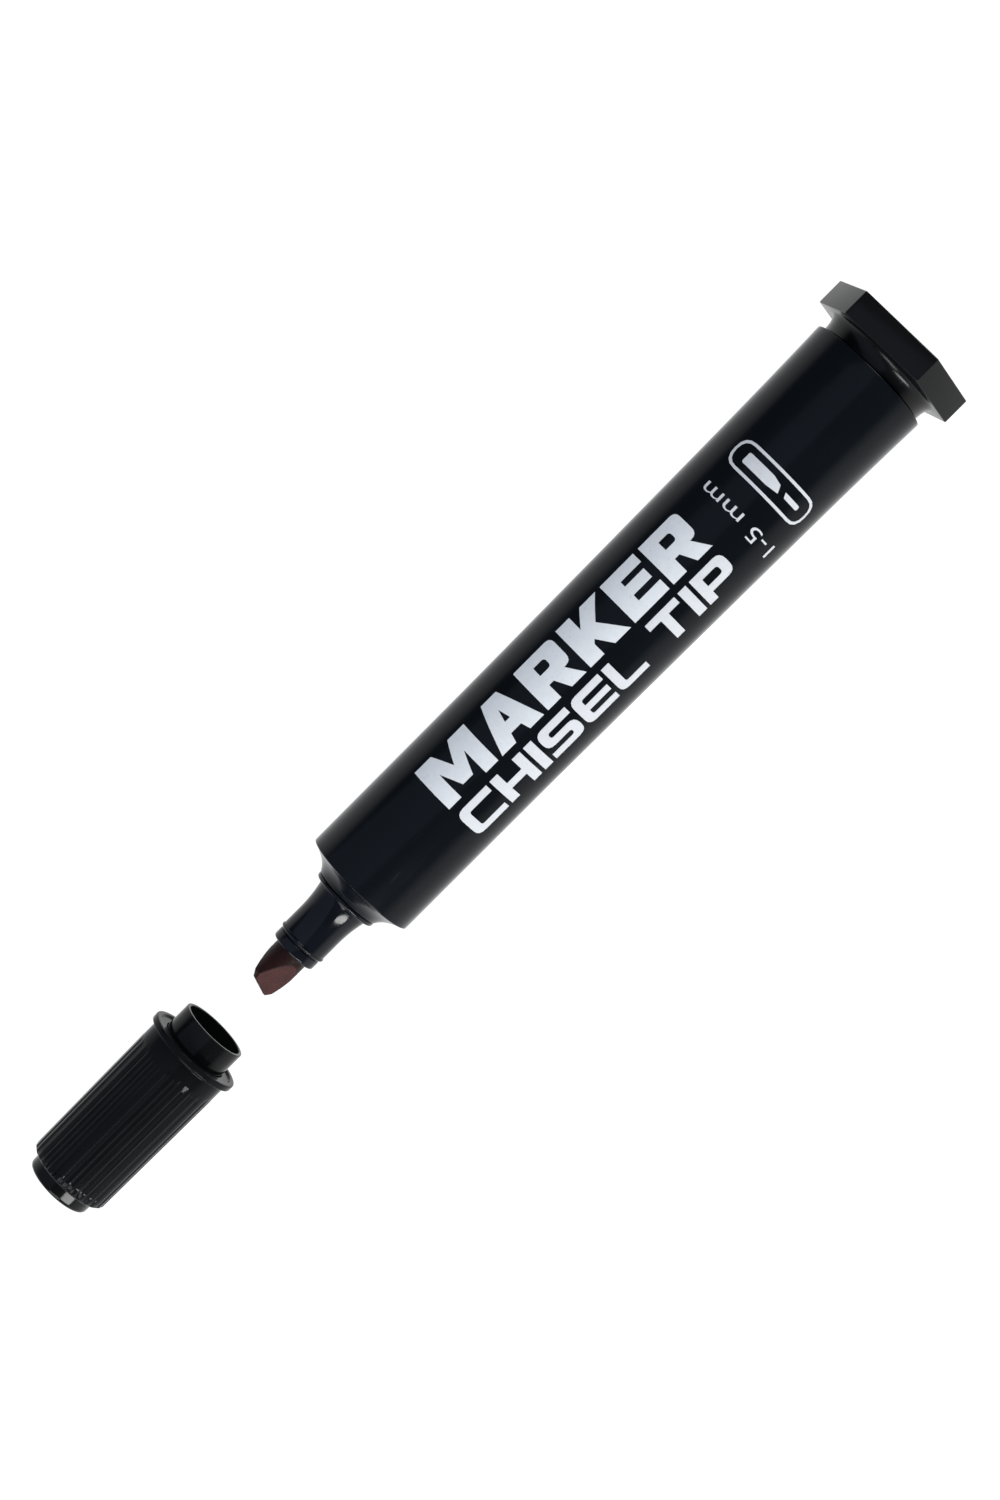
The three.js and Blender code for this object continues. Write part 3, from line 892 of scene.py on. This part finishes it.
def makeCapShell():
    look = capLook
    flangeFront = -look["flangeFront"]
    flangeBack = flangeFront - look["flangeThickness"]
    dishFloor = flangeFront - look["dishDepth"]
    ribStart = flangeBack - look["bandLength"]
    end = -look["shellEnd"]
    chamfer = look["endChamfer"]
    endRadius = look["ribRadius"] * look["taper"]
    band = look["bandRadius"]
    fillet = look["bandFillet"]
    outline = rounded([
        (look["bore"], dishFloor),
        (look["dishRadius"] - look["dishSlope"], dishFloor, 0.05),
        (look["dishRadius"], flangeFront, 0.06),
        (look["flangeRadius"], flangeFront, 0.2),
        (look["flangeRadius"], flangeBack, 0.2),
        *bend((band + fillet, flangeBack), (band, flangeBack), (band, flangeBack - fillet), 5),
        (band, flangeBack - fillet - look["edgeZone"]),
        (band, ribStart + look["edgeZone"]),
        (band, ribStart),
        (endRadius, end + chamfer),
        (endRadius - chamfer, end, 0.05),
        (look["bore"], end, 0.1),
    ])
    outline.append(outline[0])
    sides = look["ribCount"] * look["sidesPerRib"]
    shell = turnPiece("ribbed_cap_shell", outline, sides, capMouth)
    # each groove is a strip that is inset and sunk, so its walls and its end near the flange slope
    pitch = 360 / look["ribCount"]
    halfGroove = look["grooveFaces"] / 2 * 360 / sides
    bpy.ops.object.mode_set(mode="EDIT")
    pickFaces(shell, capMouth, lambda along, radius, angle: (
        end < along < ribStart
        and radius > endRadius - chamfer
        and abs((angle % pitch) - pitch / 2) < halfGroove
    ))
    bpy.ops.mesh.inset(thickness=look["grooveSlope"] * mm, depth=-look["grooveCut"] * mm)
    mesh = bmesh.from_edit_mesh(shell.data)
    sunk = [v for v in mesh.verts if v.select]
    bpy.ops.mesh.select_mode(type="VERT")
    bpy.ops.mesh.select_all(action="DESELECT")
    for vertex in sunk:
        along = (vertex.co.x - capMouth) / mm
        vertex.select_set(along > ribStart - 2 * look["grooveSlope"])
    bmesh.update_edit_mesh(shell.data)
    bpy.ops.transform.translate(value=(-(look["grooveRunOut"] - look["grooveSlope"]) * mm, 0, 0))
    # two rings keep the soft shading of the grooves' ends off their long straight part
    for along in (ribStart - look["endZone"], end + chamfer + look["endZone"]):
        bpy.ops.mesh.select_all(action="SELECT")
        bpy.ops.mesh.bisect(plane_co=(capMouth + along * mm, 0, 0), plane_no=(1, 0, 0))
    bpy.ops.object.mode_set(mode="OBJECT")
    smoothShade(shell, look["smoothAngle"])
    finishPiece(shell, capPlastic, "cap", ["cap_shell"])


linerLook = {
    "sides": 128,
    "radius": 4.82,
    "length": 29.6,
    "mouthBore": 4.34,
    "endBore": 4.15,
    "endWall": 1.3,
    "endRounding": 0.6,
    "mouthRounding": 0.12,
}


def makeCapLiner():
    look = linerLook
    end = -look["length"]
    inner = end + look["endWall"]
    liner = turnPiece("inner_cap_liner", rounded([
        (onAxis, end),
        (look["radius"], end, look["endRounding"]),
        (look["radius"], 0, look["mouthRounding"]),
        (look["mouthBore"], 0, look["mouthRounding"]),
        (look["endBore"], inner, 0.4),
        (onAxis, inner),
    ]), look["sides"], capMouth)
    smoothShade(liner)
    finishPiece(liner, linerPlastic, "cap", ["cap_liner"])


makeBarrel()
print("barrel made")
makeNozzle()
print("nozzle made")
makeNib()
print("nib made")
makeEndPlug()
print("end plug made")
makeCapShell()
makeCapLiner()
print("cap made")


printLook = {
    "thickness": 0.03,
    "sink": 0.02,  # the ink's underside lies this far below the plastic
    "arcStep": 0.35,  # cuts across the letters, so that they wrap
    "alongStep": 3,
    "mergeGap": 0.0005,
    # along: start and end; arc: from the top line towards -Y, the letters' tops and then their feet
    "word": {"along": (15.8, 62.65), "arc": (-4.2, 2.55), "gap": 0.75, "corner": 0.08},
    "line": {"along": (15.85, 62.7), "arc": (3.7, 8.5), "gap": 0.6, "corner": 0.26},
    "note": {"text": "1-5 mm", "along": (66.2, 68.2), "arc": (-3.8, 9.4), "weight": -0.004},
    "badge": {"along": (71.3, 75.5), "arc": (-4.65, 9.45), "stroke": 0.4},
}

flatThickness = 0.02  # any thickness will do while the print is flat, because fitFlat sets the real one

# Each letter is a width in mm and its outlines on a square from 0 to 1, the later ones being holes.
# A third number rounds that corner by this share of the line's corner size.
heavyLetters = {
    "M": (9.0, [[(0, 0), (0, 1), (0.33, 1), (0.5, 0.52), (0.67, 1), (1, 1), (1, 0), (0.75, 0), (0.75, 0.6),
                (0.6, 0.15), (0.4, 0.15), (0.25, 0.6), (0.25, 0)]]),
    "A": (7.6, [[(0, 0), (0.32, 1), (0.68, 1), (1, 0), (0.67, 0), (0.62, 0.19), (0.38, 0.19), (0.33, 0)],
                [(0.44, 0.42), (0.5, 0.68), (0.56, 0.42)]]),
    "R": (7.0, [[(0, 0), (0, 1), (0.96, 1, 2), (0.96, 0.36, 2), (0.77, 0.36), (1, 0), (0.62, 0),
                 (0.46, 0.32), (0.34, 0.32), (0.34, 0)],
                [(0.34, 0.56), (0.34, 0.77), (0.62, 0.77, 1), (0.62, 0.56, 1)]]),
    "K": (7.3, [[(0, 0), (0, 1), (0.34, 1), (0.34, 0.64), (0.6, 1), (0.99, 1), (0.62, 0.54), (1, 0),
                 (0.61, 0), (0.4, 0.33), (0.34, 0.26), (0.34, 0)]]),
    "E": (6.2, [[(0, 0), (0, 1), (0.98, 1), (0.98, 0.75), (0.38, 0.75), (0.38, 0.62), (0.92, 0.62),
                 (0.92, 0.39), (0.38, 0.39), (0.38, 0.25), (1, 0.25), (1, 0)]]),
}
squareLetters = {
    "C": (5.4, [[(0, 0, 1), (0, 1, 1), (1, 1), (1, 0.78), (0.26, 0.78, 0.3), (0.26, 0.22, 0.3),
                 (1, 0.22), (1, 0)]]),
    "H": (5.4, [[(0, 0), (0, 1), (0.26, 1), (0.26, 0.61), (0.74, 0.61), (0.74, 1), (1, 1), (1, 0),
                 (0.74, 0), (0.74, 0.39), (0.26, 0.39), (0.26, 0)]]),
    "I": (1.4, [[(0, 0), (0, 1), (1, 1), (1, 0)]]),
    "S": (5.4, [[(0, 0), (0, 0.22), (0.74, 0.22, 0.3), (0.74, 0.39, 0.3), (0, 0.39, 1), (0, 1, 1), (1, 1),
                 (1, 0.78), (0.26, 0.78, 0.3), (0.26, 0.61, 0.3), (1, 0.61, 1), (1, 0, 1)]]),
    "E": (5.3, [[(0, 0, 1), (0, 1, 1), (1, 1), (1, 0.78), (0.26, 0.78, 0.3), (0.26, 0.6), (0.98, 0.6),
                 (0.98, 0.4), (0.26, 0.4), (0.26, 0.22, 0.3), (1, 0.22), (1, 0)]]),
    "L": (4.8, [[(0, 0, 1), (0, 1), (0.28, 1), (0.28, 0.22, 0.3), (1, 0.22), (1, 0)]]),
    "T": (5.2, [[(0, 1), (1, 1), (1, 0.78), (0.63, 0.78), (0.63, 0), (0.37, 0), (0.37, 0.78), (0, 0.78)]]),
    "P": (5.4, [[(0, 0), (0, 1), (1, 1, 1), (1, 0.3, 1), (0.26, 0.3), (0.26, 0)],
                [(0.26, 0.52), (0.26, 0.78), (0.74, 0.78, 0.4), (0.74, 0.52, 0.4)]]),
    " ": (1.8, []),
}

def barrelRadiusAt(along):
    # the outside radius on the same points as the barrel's own outline
    points = [Vector(p) for p in rounded(barrelOuter())]
    for here, there in zip(points, points[1:]):
        if here.y <= along <= there.y and there.y > here.y:
            return here.x + (there.x - here.x) * (along - here.y) / (there.y - here.y)
    return points[0].x


def cutForWrapping(piece, low, high, step, direction):
    bpy.ops.object.mode_set(mode="EDIT")
    place = low + step
    while place < high:
        bpy.ops.mesh.select_all(action="SELECT")
        bpy.ops.mesh.bisect(plane_co=Vector(direction) * place * mm, plane_no=direction)
        place += step
    bpy.ops.object.mode_set(mode="OBJECT")


def wrapOnBarrel(piece, along, arc):
    # laid flat first: x along the barrel, y round it and z the ink's height; then rolled on to the taper
    cutForWrapping(piece, -arc[1], -arc[0], printLook["arcStep"], (0, 1, 0))
    cutForWrapping(piece, along[0], along[1], printLook["alongStep"], (1, 0, 0))
    for vertex in piece.data.vertices:
        place = vertex.co / mm
        radius = barrelRadiusAt(place.x)
        angle = place.y / radius
        radius += place.z - printLook["sink"]
        vertex.co = (
            barrelRim + place.x * mm,
            radius * math.sin(angle) * mm,
            axisHeight + radius * math.cos(angle) * mm,
        )
    piece.data.update()


def fitFlat(piece, along, arc):
    # scales and moves the flat print to its own rectangle
    keepPlace(piece)
    low = Vector([min(v.co[i] for v in piece.data.vertices) for i in range(3)])
    high = Vector([max(v.co[i] for v in piece.data.vertices) for i in range(3)])
    width = (along[1] - along[0]) * mm / (high.x - low.x)
    height = (arc[1] - arc[0]) * mm / (high.y - low.y)
    thick = (printLook["thickness"] + printLook["sink"]) * mm / (high.z - low.z)
    piece.data.transform(
        Matrix.Translation((along[0] * mm, -arc[1] * mm, 0))
        @ Matrix.Diagonal((width, height, thick, 1))
        @ Matrix.Translation(-low)
    )


def wrapPrint(piece, look, material):
    bpy.ops.object.mode_set(mode="EDIT")
    bpy.ops.mesh.select_all(action="SELECT")
    bpy.ops.mesh.remove_doubles(threshold=printLook["mergeGap"] * mm)
    bpy.ops.object.mode_set(mode="OBJECT")
    wrapOnBarrel(piece, look["along"], look["arc"])
    smoothShade(piece, 20)
    finishPiece(piece, material, "marker_body")


def printOutlines(name, look, material, outlines):
    # closed outlines, in any unit, filled as one flat curve with its holes and given the ink's thickness
    data = bpy.data.curves.new(name, "CURVE")
    data.dimensions = "2D"
    data.fill_mode = "BOTH"
    data.extrude = flatThickness
    for outline in outlines:
        line = data.splines.new("POLY")
        line.points.add(len(outline) - 1)
        line.use_cyclic_u = True
        for point, place in zip(line.points, outline):
            point.co = (place[0], place[1], 0, 1)
    piece = bpy.data.objects.new(name, data)
    bpy.context.scene.collection.objects.link(piece)
    selectOnly(piece)
    bpy.ops.object.convert(target="MESH")
    piece = bpy.context.object
    namePiece(piece, name)
    fitFlat(piece, look["along"], look["arc"])
    wrapPrint(piece, look, material)


def printLetters(name, look, material, alphabet, words):
    height = look["arc"][1] - look["arc"][0]
    outlines = []
    start = 0
    for letter in words:
        width, shapes = alphabet[letter]
        for shape in shapes:
            # drawn in mm first, so that the corners are round and not oval
            outlines.append(rounded([
                (start + x * width, y * height, *(r * look["corner"] * height for r in rounding))
                for x, y, *rounding in shape
            ]))
        start += width + look["gap"]
    printOutlines(name, look, material, outlines)


def printNote(name, look, material):
    # the line width reads across the barrel, so the text is turned a quarter
    clearSelection()
    bpy.ops.object.text_add()
    piece = bpy.context.object
    piece.data.body = look["text"]
    piece.data.size = 1
    piece.data.offset = look["weight"]
    piece.data.extrude = flatThickness
    piece.data.resolution_u = 8
    bpy.ops.object.convert(target="MESH")
    piece = bpy.context.object
    namePiece(piece, name)
    piece.rotation_euler = (0, 0, math.pi / 2)
    fitFlat(piece, look["along"], look["arc"])
    wrapPrint(piece, look, material)


def printBadge(name, look, material):
    # a plain frame with round ends, and in it a chisel nib drawing a stroke; in mm from the frame's corner
    length = look["along"][1] - look["along"][0]
    width = look["arc"][1] - look["arc"][0]
    stroke = look["stroke"]
    end = length / 2
    inner = end - stroke
    far = width - stroke
    outlines = [
        rounded([(0, 0, end), (0, width, end), (length, width, end), (length, 0, end)]),
        rounded([(stroke, stroke, inner), (stroke, far, inner),
                 (length - stroke, far, inner), (length - stroke, stroke, inner)]),
        rounded([(1.3, 7.6), (1.3, 11.9, 0.3), (2.9, 11.9, 0.3), (2.9, 7.6), (2.6, 6.2), (1.6, 5.7)]),
        rounded([(1.75, 2.1, 0.3), (1.75, 4.7, 0.1), (2.45, 5.05, 0.1), (2.45, 2.1, 0.3)]),
    ]
    printOutlines(name, look, material, outlines)


printLetters("print_word", printLook["word"], silverInk, heavyLetters, "MARKER")
printLetters("print_line", printLook["line"], whiteInk, squareLetters, "CHISEL TIP")
printNote("print_note", printLook["note"], whiteInk)
printBadge("print_badge", printLook["badge"], whiteInk)
print("print made")


# the reservoir and its film keep their CAD shapes
for nodeName, material in (("ink_reservoir", reservoirFibre), ("reservoir_film", wrapFilm())):
    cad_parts[nodeName].data.materials.clear()
    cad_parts[nodeName].data.materials.append(material)
